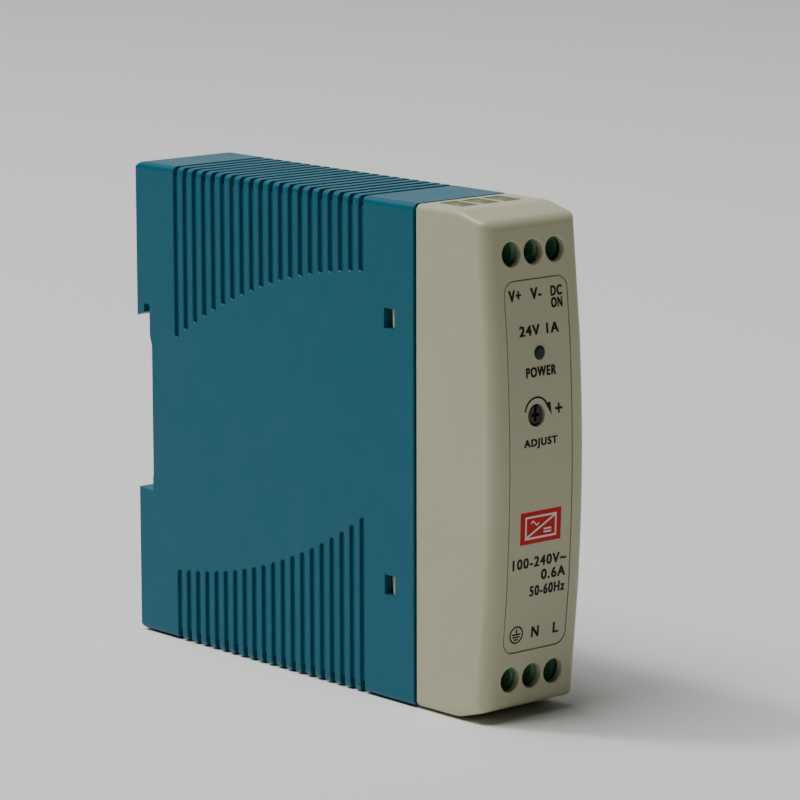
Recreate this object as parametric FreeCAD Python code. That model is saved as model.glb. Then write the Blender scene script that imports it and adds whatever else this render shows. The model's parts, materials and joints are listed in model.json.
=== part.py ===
"""DIN rail power supply, 22.5 mm wide, 90 mm high and 100 mm deep, as an assembly of separate pieces.

Frame: +Z up, -Y is the front (terminal) side, X runs across the width.
The origin is the middle of the bottom of the case. Every size is in millimetres.

A five-sided rear housing with vent ribs takes a 35 mm rail in the slot at its back. A sprung latch
holds the rail's lower flange. The front cover snaps into four windows of the housing and carries
the screw holes, the wire openings, the adjuster hole and the printed label. Two three-pole clamp
terminals, the lamp and the trimmer stand on the front board. The converter stands on the main board.
"""

import FreeCAD
import Part

import math
import os

V = FreeCAD.Vector

# ---- Case: driving dimensions -----------------------------------------------------------------
WIDTH = 22.5
HEIGHT = 90.0
DEPTH = 100.0
HALF_WIDTH = WIDTH / 2
MIDDLE_Z = HEIGHT / 2
FRONT_Y = -DEPTH / 2
BACK_Y = DEPTH / 2

SEAM_Y = -29.35          # middle of the gap between housing and cover
SEAM_GAP = 0.4
HOUSING_FRONT_Y = SEAM_Y + SEAM_GAP / 2
COVER_BACK_Y = SEAM_Y - SEAM_GAP / 2

HOUSING_WALL = 1.8
HOUSING_LONG_FILLET = 1.2
HOUSING_BACK_FILLET = 1.8
HOUSING_CORNER_FILLET = 0.3
HOUSING_RIM_FILLET = 0.15
CAVITY_X = HALF_WIDTH - HOUSING_WALL
CAVITY_TOP_Z = HEIGHT - HOUSING_WALL
CAVITY_BACK_Y = 43.6

# ---- Rail slot --------------------------------------------------------------------------------
SEAT_Y = 45.5            # plane that the rail's front rests on
SEAT_STEP_Y = 45.65      # slightly proud strip below the seat
SEAT_STEP_Z = 30.4
SLOT_LOW_Z = 27.7
HOOK_LOW_Z = 60.75
HOOK_GROOVE_Z = 63.3     # top of the groove that takes the rail's upper flange
HOOK_LIP_Y = 47.7
HOOK_PAD_Y = 46.1
HOOK_PAD_Z = (55.4, 57.3)

# ---- Vent ribs --------------------------------------------------------------------------------
GROOVE_COUNT = 20
GROOVE_PITCH = 2.787
GROOVE_BACK_Y = 37.85    # centre of the rearmost groove
GROOVE_WIDTH = 1.2
GROOVE_DEPTH = 0.6
GROOVE_FLARE = 0.14      # chamfer at each rib edge
GROOVE_ARC_RADIUS = 115.0   # the groove ends follow an arc of this radius
GROOVE_ARC_Y = -25.5        # where the arc is level
GROOVE_SHORT = 13.0         # groove length at that place
VENT_CUT = HOUSING_WALL + 0.05

# ---- Snap windows and tabs --------------------------------------------------------------------
SNAP_OFFSET_Z = 24.0     # windows lie this far above and below the middle
WINDOW_Y = (-24.15, -21.35)
WINDOW_HEIGHT = 3.6
TAB_OUTER_X = CAVITY_X - 0.15
TAB_INNER_X = TAB_OUTER_X - 1.1
TAB_END_Y = -20.3
SKIRT_END_Z = 14.0
BARB_X = 10.75

# ---- Front cover ------------------------------------------------------------------------------
COVER_HALF_WIDTH = 11.05
COVER_STEP = (0.02, 0.15)              # step down from the housing's top and from its bottom
COVER_WALL = 1.3
COVER_BEND = (-40.2, 0.05, 8.0)        # y, depth below the seam's edge, radius: top to chamfer
COVER_CORNER_Y = -47.25                # chamfer to front face
COVER_CORNER_DROP = (1.8, 2.3)         # its depth below the case's top, and above its bottom
COVER_KNEE = (-49.25, 22.0, 60.0)      # sloping end of the front face to its crowned middle
COVER_CROWN_Y = -50.35
COVER_CROWN_RADIUS = 280.0
COVER_SIDE_FILLET = 1.1
COVER_FRONT_FILLET = 2.3
COVER_CORNER_FILLET = 2.3
COVER_RIM_FILLET = 0.35
RIM_CHAMFER = 0.18

# ---- Terminals --------------------------------------------------------------------------------
POLE_PITCH = 5.08
POLES = (-POLE_PITCH, 0.0, POLE_PITCH)
TERMINAL_OFFSET_Z = 37.55              # screw axes lie this far above and below the middle
TERMINAL_Z = MIDDLE_Z + TERMINAL_OFFSET_Z
SCREW_HOLE_RADIUS = 2.2                # screwdriver holes in the cover
WIRE_OPENING_HALF_X = 2.1
WIRE_OPENING_Y = (-37.3, -31.2)
WIRE_OPENING_RADIUS = 0.3

BLOCK_HALF_X = 7.85
BLOCK_Y = (-45.3, -28.9)
BLOCK_Z = (76.6, 87.6)
BLOCK_SLOPE = (-37.5, 85.9)            # where the sloping top starts, and its height at the front
WELL_RADIUS = 2.15
SHOULDER_Y = (-40.6, -39.8)            # plate that each screw head pulls on
SCREW_HEAD = (1.95, -42.6, -40.65)     # radius, front, back
SCREW_SHAFT = (1.42, -35.6)            # radius, tip
SCREW_TRAVEL = 2.0                     # how far a cage climbs from open to shut
CHAMBER_HALF_X = 2.2
CHAMBER_HALF_Z = 2.95
CAGE_HALF_X = 2.1
CAGE_HALF_Z = 2.75
CAGE_Y = (-37.7, -31.1)
CAGE_WINDOW_HALF_X = 1.6
CAGE_WINDOW_Y = (-35.9, -32.1)
CAGE_THREAD_RADIUS = 1.5
BAR_HALF_X = 1.3
BAR_Y = (-35.5, -34.7)
BAR_TOP_Z = 85.2
PIN_Z = 77.85
PIN_HALF = 0.5
PIN_TIP_Y = -26.3

# ---- Lamp and adjuster ------------------------------------------------------------------------
LAMP_X, LAMP_Z, LAMP_HOLE_RADIUS = 0.1, 65.1, 1.25
TRIM_X, TRIM_Z, TRIM_HOLE_RADIUS = -1.0, 54.3, 2.0
COLLAR_WALL = 1.0
LIGHT_PIPE = (1.15, -49.6, -37.2)      # radius, front, back
LAMP_COLLAR_END_Y = -41.0
LAMP = (1.5, -36.8, -32.4)             # radius, tip, where its rim starts
TRIM_BODY = (3.4, -33.6)               # half width, front
TRIM_SOCKET = (2.0, -32.4)             # radius and depth of the hole that takes the rotor
TRIM_ROTOR = (1.7, -49.45, -32.5)      # radius, front, back
TRIM_COLLAR_END_Y = -48.0

# ---- Label ------------------------------------------------------------------------------------
LABEL_X = (-7.3, 7.25)
LABEL_Z = (12.45, 77.82)
LABEL_RADIUS = 2.2
LABEL_GAP = 0.25
LABEL_SKIN = (0.05, 0.48)              # depth of the label's front and back below the cover's face
LABEL_RECESS = 0.5

# ---- Boards -----------------------------------------------------------------------------------
BOARD = 1.6
FRONT_BOARD_Y = -28.8
FRONT_BOARD_HALF_X = 7.9
FRONT_BOARD_Z = (3.2, 86.8)
MAIN_BOARD_X = -7.6
MAIN_BOARD_Y = (-26.6, 42.6)
MAIN_BOARD_Z = (2.0, 88.0)
MOUNT_X = MAIN_BOARD_X + BOARD         # the component side of the main board
LEAD_TIP_X = MAIN_BOARD_X - 1.1
DRILL_CLEARANCE = 0.12
GUIDE_HEIGHT = 2.5
GUIDE_FRONT_Y = -19.0
GUIDE_GAP = 0.12
SHEET_X = (-9.4, -9.15)

# ---- Latch ------------------------------------------------------------------------------------
LATCH_FLANGE_X = 5.0
LATCH_FACE_X = 4.0
LATCH_CLEARANCE = 0.2
LATCH_Y = (45.7, 48.05, 49.8)           # inner face, back of the flange, back of the face
LATCH_Z = (3.3, 29.4)
LATCH_LIP_Y = 46.8                     # the lip stands behind the rail's flange
LATCH_SHELF_Z = 27.4
LATCH_TRAVEL = 3.0
LATCH_PULL_Z = (5.0, 7.0)              # slot for a screwdriver tip
LATCH_POCKET_HALF_X = 1.4
LATCH_POCKET_Z = (9.0, 19.0)
SPRING_SEAT_HALF_X = 1.2
SPRING_SEAT_Z = (9.2, 10.4)
SPRING_RADIUS = 0.95                   # of the coil's centre line
SPRING_WIRE = 0.14
SPRING_TURNS = 7
SPRING_Y = 46.85

nodes = {}               # node name to shape
main_board_drills = []   # (y, z, radius) of every lead through the main board
front_board_drills = []  # (x, z, radius) of every pin through the front board


# ---- Shape helpers ----------------------------------------------------------------------------
def box(x, y, z):
    """A box from (low, high) pairs."""
    return Part.makeBox(x[1] - x[0], y[1] - y[0], z[1] - z[0], V(x[0], y[0], z[0]))


def centred_box(centre, size):
    """A box about a centre point."""
    return box(*[(c - s / 2, c + s / 2) for c, s in zip(centre, size)])


def rod_x(radius, x, y, z):
    return Part.makeCylinder(radius, x[1] - x[0], V(x[0], y, z), V(1, 0, 0))


def rod_y(radius, y, x, z):
    return Part.makeCylinder(radius, y[1] - y[0], V(x, y[0], z), V(0, 1, 0))


def rod_z(radius, z, x, y):
    return Part.makeCylinder(radius, z[1] - z[0], V(x, y, z[0]), V(0, 0, 1))


def solid(shape):
    """The single solid of a boolean result, or a compound if there are several."""
    clean = shape.removeSplitter()
    return clean.Solids[0] if len(clean.Solids) == 1 else Part.makeCompound(clean.Solids)


def union(*shapes):
    return solid(shapes[0].multiFuse(list(shapes[1:])))


def minus(shape, *tools):
    return solid(shape.cut(list(tools)))


def mirrored_x(shape):
    return shape.mirror(V(0, 0, 0), V(1, 0, 0))


def mirrored_z(shape):
    """The same shape on the other side of the case's middle height."""
    return shape.mirror(V(0, 0, MIDDLE_Z), V(0, 0, 1))


def outline(points, place):
    """A closed wire through (u, v, radius) corners, each rounded by a tangent arc of its radius."""
    corners = []
    for i, (u, v, radius) in enumerate(points):
        here = V(u, v, 0)
        before = V(*points[i - 1][:2], 0) - here
        after = V(*points[(i + 1) % len(points)][:2], 0) - here
        if radius == 0:
            corners.append((here, None, here))
            continue
        before.normalize()
        after.normalize()
        half_angle = before.getAngle(after) / 2
        towards_centre = before + after
        towards_centre.normalize()
        reach = radius / math.tan(half_angle)
        middle = here + towards_centre * (radius / math.sin(half_angle) - radius)
        corners.append((here + before * reach, middle, here + after * reach))
    edges = []
    for i, (start, middle, end) in enumerate(corners):
        if middle is not None:
            edges.append(Part.Arc(place(start), place(middle), place(end)).toShape())
        following = corners[(i + 1) % len(corners)][0]
        if (following - end).Length > 1e-6:
            edges.append(Part.LineSegment(place(end), place(following)).toShape())
    return Part.Wire(edges)


def prism(wire, vector):
    return Part.Face(wire).extrude(vector)


def side_prism(points, x):
    """A (y, z, radius) outline, extruded across x."""
    return prism(outline(points, lambda p: V(x[0], p.x, p.y)), V(x[1] - x[0], 0, 0))


def front_prism(points, y):
    """An (x, z, radius) outline, extruded along y."""
    return prism(outline(points, lambda p: V(p.x, y[0], p.y)), V(0, y[1] - y[0], 0))


def plan_prism(points, z):
    """An (x, y, radius) outline, extruded up z."""
    return prism(outline(points, lambda p: V(p.x, p.y, z[0])), V(0, 0, z[1] - z[0]))


def rectangle(u, v, radius):
    return [(u[0], v[0], radius), (u[1], v[0], radius), (u[1], v[1], radius), (u[0], v[1], radius)]


def sharp(points):
    return [(u, v, 0) for u, v in points]


def rounded_rim(shape, y, radius):
    """A closed block with the whole edge of its face at y rounded."""
    rim = [e for e in shape.Edges if max(abs(v.Y - y) for v in e.Vertexes) < 1e-4
           and abs(e.CenterOfMass.y - y) < 1e-4]
    return shape.makeFillet(radius, rim)


# ---- Rear housing -----------------------------------------------------------------------------
def housing_outer():
    """The closed outer block: rounded outlines seen from the side, the back and above, in common."""
    x, y, z = (-HALF_WIDTH, HALF_WIDTH), (HOUSING_FRONT_Y, BACK_Y), (0, HEIGHT)
    back = [(y[0], z[0], 0), (y[1], z[0], HOUSING_BACK_FILLET), (y[1], z[1], HOUSING_BACK_FILLET),
            (y[0], z[1], 0)]
    corners = [(x[0], y[0], 0), (x[1], y[0], 0), (x[1], y[1], HOUSING_CORNER_FILLET),
               (x[0], y[1], HOUSING_CORNER_FILLET)]
    from_side = side_prism(back, x)
    from_front = front_prism(rectangle(x, z, HOUSING_LONG_FILLET), y)
    from_above = plan_prism(corners, z)
    block = solid(from_side.common(from_front).common(from_above))
    return rounded_rim(block, HOUSING_FRONT_Y, HOUSING_RIM_FILLET)


def groove_y(index):
    """The centre of groove number index. Number 0 is the rearmost one."""
    return GROOVE_BACK_Y - GROOVE_PITCH * index


def groove_length(y):
    """How far the groove at y reaches down from the top face."""
    ahead = y - GROOVE_ARC_Y
    return GROOVE_SHORT + GROOVE_ARC_RADIUS - math.sqrt(GROOVE_ARC_RADIUS ** 2 - ahead ** 2)


def side_groove(y, length):
    """One groove in the left side, from above the top face down, with a round lower end."""
    half, flare = GROOVE_WIDTH / 2, GROOVE_FLARE
    outer, floor = -HALF_WIDTH, -HALF_WIDTH + GROOVE_DEPTH
    half_section = [(outer - 0.2, 0), (outer - 0.2, half + flare), (outer, half + flare),
                    (outer + flare, half), (floor, half), (floor, 0)]
    section = half_section[1:-1] + [(x, -w) for x, w in reversed(half_section[1:-1])]
    end_z = HEIGHT - length + half
    run = plan_prism([(x, y + w, 0) for x, w in section], (end_z, HEIGHT + 0.5))
    turned = Part.makePolygon([V(x, y + w, end_z) for x, w in half_section + half_section[:1]])
    end = Part.Face(turned).revolve(V(0, y, end_z), V(1, 0, 0), 360)
    return run.fuse(end)


def vent_slot(y):
    """A slot across the whole top face, through the wall, with chamfered edges."""
    half, flare = GROOVE_WIDTH / 2, GROOVE_FLARE
    top, low = HEIGHT, HEIGHT - VENT_CUT
    section = sharp([(y - half, low), (y + half, low), (y + half, top - flare), (y + half + flare, top),
                     (y + half + flare, top + 1), (y - half - flare, top + 1), (y - half - flare, top),
                     (y - half, top - flare)])
    return side_prism(section, (-HALF_WIDTH - 1, HALF_WIDTH + 1))


def rail_slot():
    return side_prism(
        [(BACK_Y + 1, HOOK_LOW_Z, 0), (BACK_Y, HOOK_LOW_Z, 0), (HOOK_LIP_Y + 0.1, HOOK_LOW_Z + 0.8, 0.3),
         (HOOK_LIP_Y, HOOK_GROOVE_Z, 0.5), (HOOK_PAD_Y, HOOK_GROOVE_Z, 0.5),
         (HOOK_PAD_Y, HOOK_PAD_Z[1], 2.0), (SEAT_Y, HOOK_PAD_Z[0], 0), (SEAT_Y, SEAT_STEP_Z, 0),
         (SEAT_STEP_Y, SEAT_STEP_Z, 0), (SEAT_STEP_Y, SLOT_LOW_Z - 0.25, 0), (BACK_Y, SLOT_LOW_Z, 0),
         (BACK_Y + 1, SLOT_LOW_Z, 0)],
        (-HALF_WIDTH - 1, HALF_WIDTH + 1))


def latch_channel():
    wide, narrow = LATCH_FLANGE_X + LATCH_CLEARANCE, LATCH_FACE_X + LATCH_CLEARANCE
    turn_y = LATCH_Y[1] + 0.15
    return [box((-wide, wide), (SEAT_Y, turn_y), (-1, SLOT_LOW_Z + 1)),
            box((-narrow, narrow), (turn_y - 0.1, BACK_Y + 1), (-1, SLOT_LOW_Z + 1))]


def snap_windows():
    x = (-HALF_WIDTH - 1, -CAVITY_X + 0.1)
    upper = centred_box((sum(x) / 2, sum(WINDOW_Y) / 2, MIDDLE_Z + SNAP_OFFSET_Z),
                        (x[1] - x[0], WINDOW_Y[1] - WINDOW_Y[0], WINDOW_HEIGHT))
    left = [upper, mirrored_z(upper)]
    return left + [mirrored_x(w) for w in left]


def board_guides():
    """Two ribs each side of the main board, along the floor and the roof."""
    sides = [(MAIN_BOARD_X - GUIDE_GAP - 1.2, MAIN_BOARD_X - GUIDE_GAP),
             (MOUNT_X + GUIDE_GAP, MOUNT_X + GUIDE_GAP + 1.0)]
    z = (HOUSING_WALL, HOUSING_WALL + GUIDE_HEIGHT)
    floor = [box(x, (GUIDE_FRONT_Y, CAVITY_BACK_Y + 0.3), z) for x in sides]
    return floor + [mirrored_z(g) for g in floor]


def rear_housing():
    pocket_y = (CAVITY_BACK_Y - 0.5, BACK_Y - HOUSING_WALL)
    low_pocket = box((LATCH_FLANGE_X + 1.6, CAVITY_X), pocket_y, (HOUSING_WALL, SLOT_LOW_Z - HOUSING_WALL))
    hollows = [
        box((-CAVITY_X, CAVITY_X), (HOUSING_FRONT_Y - 1, CAVITY_BACK_Y), (HOUSING_WALL, CAVITY_TOP_Z)),
        box((-CAVITY_X, CAVITY_X), pocket_y, (HOOK_GROOVE_Z + HOUSING_WALL, CAVITY_TOP_Z)),
        low_pocket, mirrored_x(low_pocket)]
    shell = minus(housing_outer(), *hollows)
    shell = minus(shell, rail_slot(), *latch_channel(), *snap_windows())
    cutters = []
    for i in range(GROOVE_COUNT):
        y, opposite_y = groove_y(i), groove_y(GROOVE_COUNT - 1 - i)
        upper = side_groove(y, groove_length(y))
        lower = side_groove(y, groove_length(opposite_y))
        left = [upper, mirrored_z(lower)]
        vent = vent_slot(y)
        cutters += left + [mirrored_x(g) for g in left] + [vent, mirrored_z(vent)]
    shell = minus(shell, *cutters)
    seat_x = (-SPRING_SEAT_HALF_X, SPRING_SEAT_HALF_X)
    spring_seat = box(seat_x, (SEAT_Y - 0.5, LATCH_Y[1] - 0.15), SPRING_SEAT_Z)
    return union(shell, spring_seat, *board_guides())


# ---- Front cover and label --------------------------------------------------------------------
def cover_profile(back_y, corner_radius):
    """The cover's side outline as (y, z, radius) corners, open-ended at back_y."""
    ends = []
    for step, drop in zip(COVER_STEP, COVER_CORNER_DROP):
        ends.append([(back_y, MIDDLE_Z - step, 0), (COVER_BEND[0], MIDDLE_Z - step - COVER_BEND[1], COVER_BEND[2]),
                     (COVER_CORNER_Y, MIDDLE_Z - drop, corner_radius), COVER_KNEE])
    upper = [(y, MIDDLE_Z + h, r) for y, h, r in ends[0]]
    lower = [(y, MIDDLE_Z - h, r) for y, h, r in reversed(ends[1])]
    return upper + [(COVER_CROWN_Y, MIDDLE_Z, COVER_CROWN_RADIUS)] + lower


def cover_block(back_y, inset, corner_radius):
    """A closed block with the cover's outline, inset by a depth."""
    half_width = COVER_HALF_WIDTH - inset
    wire = outline(cover_profile(back_y, corner_radius), lambda p: V(-half_width, p.x, p.y))
    if inset:
        wire = wire.makeOffset2D(-inset)
    return prism(wire, V(2 * half_width, 0, 0))


def cover_outer():
    """The closed outer block of the cover, with its edges rounded."""
    block = cover_block(COVER_BACK_Y, 0, 0)

    def is_front(edge):
        middle = edge.CenterOfMass
        return middle.y < COVER_CORNER_Y or abs(middle.z - MIDDLE_Z) < MIDDLE_Z - max(COVER_CORNER_DROP) - 1

    def is_side(edge):
        middle = edge.CenterOfMass
        return abs(middle.x) > 6 and middle.y < COVER_BACK_Y - 1

    block = block.makeFillet(COVER_FRONT_FILLET, [e for e in block.Edges if is_side(e) and is_front(e)])
    sides = [e for e in block.Edges if is_side(e) and not is_front(e) and e.Length > 2
             and abs(abs(e.CenterOfMass.x) - COVER_HALF_WIDTH) < 1e-3]
    block = block.makeFillet(COVER_SIDE_FILLET, sides)
    block = solid(block.common(cover_block(COVER_BACK_Y, 0, COVER_CORNER_FILLET)))
    return rounded_rim(block, COVER_BACK_Y, COVER_RIM_FILLET)


def snap_tab():
    """The upper left tab: a tongue behind the cover's edge, with a barb for the window."""
    z = MIDDLE_Z + SNAP_OFFSET_Z
    tongue = box((-TAB_OUTER_X, -TAB_INNER_X), (COVER_BACK_Y - 3, TAB_END_Y), (z - 3, z + 3))
    front = WINDOW_Y[0] + 0.12
    barb = sharp([(-TAB_OUTER_X + 0.2, front), (-BARB_X, front), (-BARB_X, front + 0.8),
                  (-TAB_OUTER_X, front + 2.3), (-TAB_OUTER_X + 0.2, front + 2.3)])
    return union(tongue, plan_prism(barb, (z - 1.6, z + 1.6)))


def cover_skirts():
    """The thin side walls that reach into the housing's mouth, with two snap tabs each."""
    z = (SKIRT_END_Z, HEIGHT - SKIRT_END_Z)
    skirt = box((-TAB_OUTER_X, -TAB_INNER_X), (COVER_BACK_Y - 3, COVER_BACK_Y + 2.2), z)
    root = box((-TAB_OUTER_X - 0.6, -TAB_INNER_X), (COVER_BACK_Y - 3, COVER_BACK_Y - 0.6), z)
    left = union(skirt, root, snap_tab(), mirrored_z(snap_tab()))
    return [left, mirrored_x(left)]


def wire_opening(x):
    opening = rectangle((x - WIRE_OPENING_HALF_X, x + WIRE_OPENING_HALF_X), WIRE_OPENING_Y,
                        WIRE_OPENING_RADIUS)
    return plan_prism(opening, (BLOCK_Z[1], HEIGHT + 1))


def label_outline(margin):
    x = (LABEL_X[0] - margin, LABEL_X[1] + margin)
    z = (LABEL_Z[0] - margin, LABEL_Z[1] + margin)
    return front_prism(rectangle(x, z, LABEL_RADIUS + margin), (FRONT_Y - 1, FRONT_Y + 6))


def label_skin(depth):
    """The cover's front face moved back by a depth, as a block behind it."""
    return cover_block(COVER_BACK_Y + 3, depth, 0)


def collar(radius, x, z, end_y):
    return rod_y(radius + COLLAR_WALL, (FRONT_Y + 1.0, end_y), x, z)


def front_cover():
    hollow = cover_block(COVER_BACK_Y + 3, COVER_WALL, 0)
    shell = minus(cover_outer(), hollow)
    lamp_collar = collar(LAMP_HOLE_RADIUS, LAMP_X, LAMP_Z, LAMP_COLLAR_END_Y)
    trim_collar = collar(TRIM_HOLE_RADIUS, TRIM_X, TRIM_Z, TRIM_COLLAR_END_Y)
    shell = union(shell, lamp_collar, trim_collar, *cover_skirts())
    recess = label_outline(LABEL_GAP).cut(label_skin(LABEL_RECESS))
    reach = (FRONT_Y - 1, FRONT_Y + 12)
    cutters = [recess, rod_y(LAMP_HOLE_RADIUS, reach, LAMP_X, LAMP_Z),
               rod_y(TRIM_HOLE_RADIUS, reach, TRIM_X, TRIM_Z)]
    for x in POLES:
        hole = rod_y(SCREW_HOLE_RADIUS, reach, x, TERMINAL_Z)
        cutters += [hole, mirrored_z(hole), wire_opening(x), mirrored_z(wire_opening(x))]
    shell = minus(shell, *cutters)
    rims = [e for e in shell.Edges if is_screw_hole_rim(e)]
    return solid(shell.makeChamfer(RIM_CHAMFER, rims))


def is_screw_hole_rim(edge):
    """Whether an edge is the outer rim of one of the six screwdriver holes."""
    box_ = edge.BoundBox
    middle = box_.Center
    outer = abs(middle.z - MIDDLE_Z) > TERMINAL_OFFSET_Z - 1 and middle.y < COVER_CORNER_Y + 0.3
    wide = abs(box_.XLength - 2 * SCREW_HOLE_RADIUS) < 0.05
    return outer and wide and abs(box_.ZLength - 2 * SCREW_HOLE_RADIUS) < 0.05


def front_label():
    front, back = LABEL_SKIN
    plate = label_outline(0).common(label_skin(front)).cut(label_skin(back))
    reach = (FRONT_Y - 1, FRONT_Y + 6)
    return minus(plate, rod_y(LAMP_HOLE_RADIUS, reach, LAMP_X, LAMP_Z),
                 rod_y(TRIM_HOLE_RADIUS, reach, TRIM_X, TRIM_Z))


# ---- Latch and its spring ---------------------------------------------------------------------
def din_latch():
    """A T-shaped slider. Its lip holds the rail's lower flange, and its lower end has a pull slot."""
    inner_y, flange_y, face_y = LATCH_Y
    low_z, top_z = LATCH_Z
    flange = box((-LATCH_FLANGE_X, LATCH_FLANGE_X), (inner_y, flange_y), (low_z, LATCH_SHELF_Z))
    face = box((-LATCH_FACE_X, LATCH_FACE_X), (flange_y - 0.2, face_y), (low_z, LATCH_SHELF_Z))
    lip = side_prism([(LATCH_LIP_Y, LATCH_SHELF_Z - 0.5, 0), (LATCH_LIP_Y, top_z, 0.2),
                      (LATCH_LIP_Y + 0.7, top_z, 0.2), (face_y, LATCH_SHELF_Z + 0.4, 0.3),
                      (face_y, LATCH_SHELF_Z - 0.5, 0)], (-LATCH_FACE_X, LATCH_FACE_X))
    pocket_x = (-LATCH_POCKET_HALF_X, LATCH_POCKET_HALF_X)
    pocket = box(pocket_x, (inner_y - 1, flange_y), LATCH_POCKET_Z)
    pull = box((-2.0, 2.0), (flange_y - 0.6, face_y + 1), LATCH_PULL_Z)
    return minus(union(flange, face, lip), pocket, pull)


def latch_spring():
    """A compression spring between the housing's seat and the top of the latch's pocket."""
    low, high = SPRING_SEAT_Z[1] + SPRING_WIRE, LATCH_POCKET_Z[1] - SPRING_WIRE
    pitch = (high - low) / SPRING_TURNS
    coil = Part.makeHelix(pitch, high - low, SPRING_RADIUS)
    circle = Part.Wire([Part.Circle(V(SPRING_RADIUS, 0, 0), V(0, 1, 0), SPRING_WIRE).toShape()])
    spring = Part.Wire(coil.Edges).makePipeShell([circle], True, True)
    spring.translate(V(0, SPRING_Y, low))
    return spring.Solids[0] if spring.Solids else spring


# ---- Terminals --------------------------------------------------------------------------------
def terminal_block():
    """The upper three-pole block, with its well, clamp chamber and wire way at each pole."""
    body = side_prism([(BLOCK_Y[0], BLOCK_Z[0], 0.4), (BLOCK_Y[1], BLOCK_Z[0], 0),
                       (BLOCK_Y[1], BLOCK_Z[1], 0), (BLOCK_SLOPE[0], BLOCK_Z[1], 0),
                       (BLOCK_Y[0], BLOCK_SLOPE[1], 0.4)], (-BLOCK_HALF_X, BLOCK_HALF_X))
    cutters = []
    for x in POLES:
        chamber_x = (x - CHAMBER_HALF_X, x + CHAMBER_HALF_X)
        chamber_z = (TERMINAL_Z - CHAMBER_HALF_Z, TERMINAL_Z + CHAMBER_HALF_Z)
        bar_x = (x - BAR_HALF_X - 0.05, x + BAR_HALF_X + 0.05)
        pin_x = (x - PIN_HALF - 0.05, x + PIN_HALF + 0.05)
        cutters += [
            rod_y(WELL_RADIUS, (BLOCK_Y[0] - 1, SHOULDER_Y[0]), x, TERMINAL_Z),
            rod_y(SCREW_SHAFT[0] + 0.1, (SHOULDER_Y[0] - 1, SHOULDER_Y[1] + 1), x, TERMINAL_Z),
            box(chamber_x, (SHOULDER_Y[1], BLOCK_Y[1] + 1), chamber_z),
            box((x - WIRE_OPENING_HALF_X, x + WIRE_OPENING_HALF_X), WIRE_OPENING_Y,
                (chamber_z[1] - 0.5, BLOCK_Z[1] + 1)),
            box(bar_x, (BAR_Y[0] - 0.05, BAR_Y[1] + 0.05), (BLOCK_Z[0] - 1, chamber_z[0] + 0.5)),
            box(pin_x, (BAR_Y[1] - 0.1, BLOCK_Y[1] + 1), (BLOCK_Z[0] - 1, PIN_Z + PIN_HALF + 0.05))]
    return minus(body, *cutters)


def terminal_screw(x):
    """A clamp screw with a cross recess and a slot in its head."""
    radius, front, back = SCREW_HEAD
    head = rod_y(radius, (front, back), x, TERMINAL_Z)
    head = head.makeChamfer(0.2, [e for e in head.Edges if abs(e.CenterOfMass.y - front) < 1e-6])
    shaft = rod_y(SCREW_SHAFT[0], (back - 0.1, SCREW_SHAFT[1]), x, TERMINAL_Z)
    slot = centred_box((x, front, TERMINAL_Z), (2 * radius + 1, 1.6, 0.55))
    cross = centred_box((x, front, TERMINAL_Z), (0.75, 2.2, 2.1))
    return minus(union(head, shaft), slot, cross)


def clamp_cage(x):
    """The rising frame that presses a wire onto the contact bar."""
    z = (TERMINAL_Z - CAGE_HALF_Z, TERMINAL_Z + CAGE_HALF_Z)
    frame = box((x - CAGE_HALF_X, x + CAGE_HALF_X), CAGE_Y, z)
    frame = frame.makeFillet(0.4, [e for e in frame.Edges if abs(e.CenterOfMass.z - TERMINAL_Z) < 1e-6])
    window = box((x - CAGE_WINDOW_HALF_X, x + CAGE_WINDOW_HALF_X), CAGE_WINDOW_Y, (z[0] - 1, z[1] + 1))
    thread = rod_y(CAGE_THREAD_RADIUS, (CAGE_Y[0] - 1, CAGE_WINDOW_Y[0] + 0.5), x, TERMINAL_Z)
    return minus(frame, window, thread)


def contact_bar(x):
    """The bar in front of the wire, and its solder pin through the front board."""
    bar = box((x - BAR_HALF_X, x + BAR_HALF_X), BAR_Y, (PIN_Z - PIN_HALF, BAR_TOP_Z))
    pin = centred_box((x, (BAR_Y[1] + PIN_TIP_Y) / 2, PIN_Z),
                      (2 * PIN_HALF, PIN_TIP_Y - BAR_Y[1] + 0.4, 2 * PIN_HALF))
    return union(bar, pin)


def make_terminals():
    """The output block above, and the same block turned over as the input below."""
    block = terminal_block()
    contacts = Part.makeCompound([contact_bar(x) for x in POLES])
    nodes["terminal_block_output"] = block
    nodes["terminal_block_input"] = mirrored_z(block)
    nodes["terminal_contacts_output"] = contacts
    nodes["terminal_contacts_input"] = mirrored_z(contacts)
    for number, x in enumerate(POLES, 1):
        screw, cage = terminal_screw(x), clamp_cage(x)
        nodes[f"terminal_screw_output_{number}"] = screw
        nodes[f"terminal_screw_input_{number}"] = mirrored_z(screw)
        nodes[f"clamp_cage_output_{number}"] = cage
        nodes[f"clamp_cage_input_{number}"] = mirrored_z(cage)
        for z in (PIN_Z, HEIGHT - PIN_Z):
            front_board_drills.append((x, z, PIN_HALF * math.sqrt(2)))


# ---- Lamp and adjuster ------------------------------------------------------------------------
def front_lead(x, z, radius, start_y):
    """A lead from a part on the front board, through the board."""
    front_board_drills.append((x, z, radius))
    return rod_y(radius, (start_y - 0.2, PIN_TIP_Y), x, z)


def lamp():
    radius, tip, rim = LAMP
    body = rod_y(radius, (tip + radius, rim + 0.1), LAMP_X, LAMP_Z)
    dome = Part.makeSphere(radius, V(LAMP_X, tip + radius, LAMP_Z))
    flange = rod_y(radius + 0.4, (rim, rim + 1.0), LAMP_X, LAMP_Z)
    leads = [front_lead(LAMP_X, LAMP_Z + dz, 0.25, rim + 1.0) for dz in (-1.0, 1.0)]
    return union(body, dome, flange, *leads)


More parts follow.
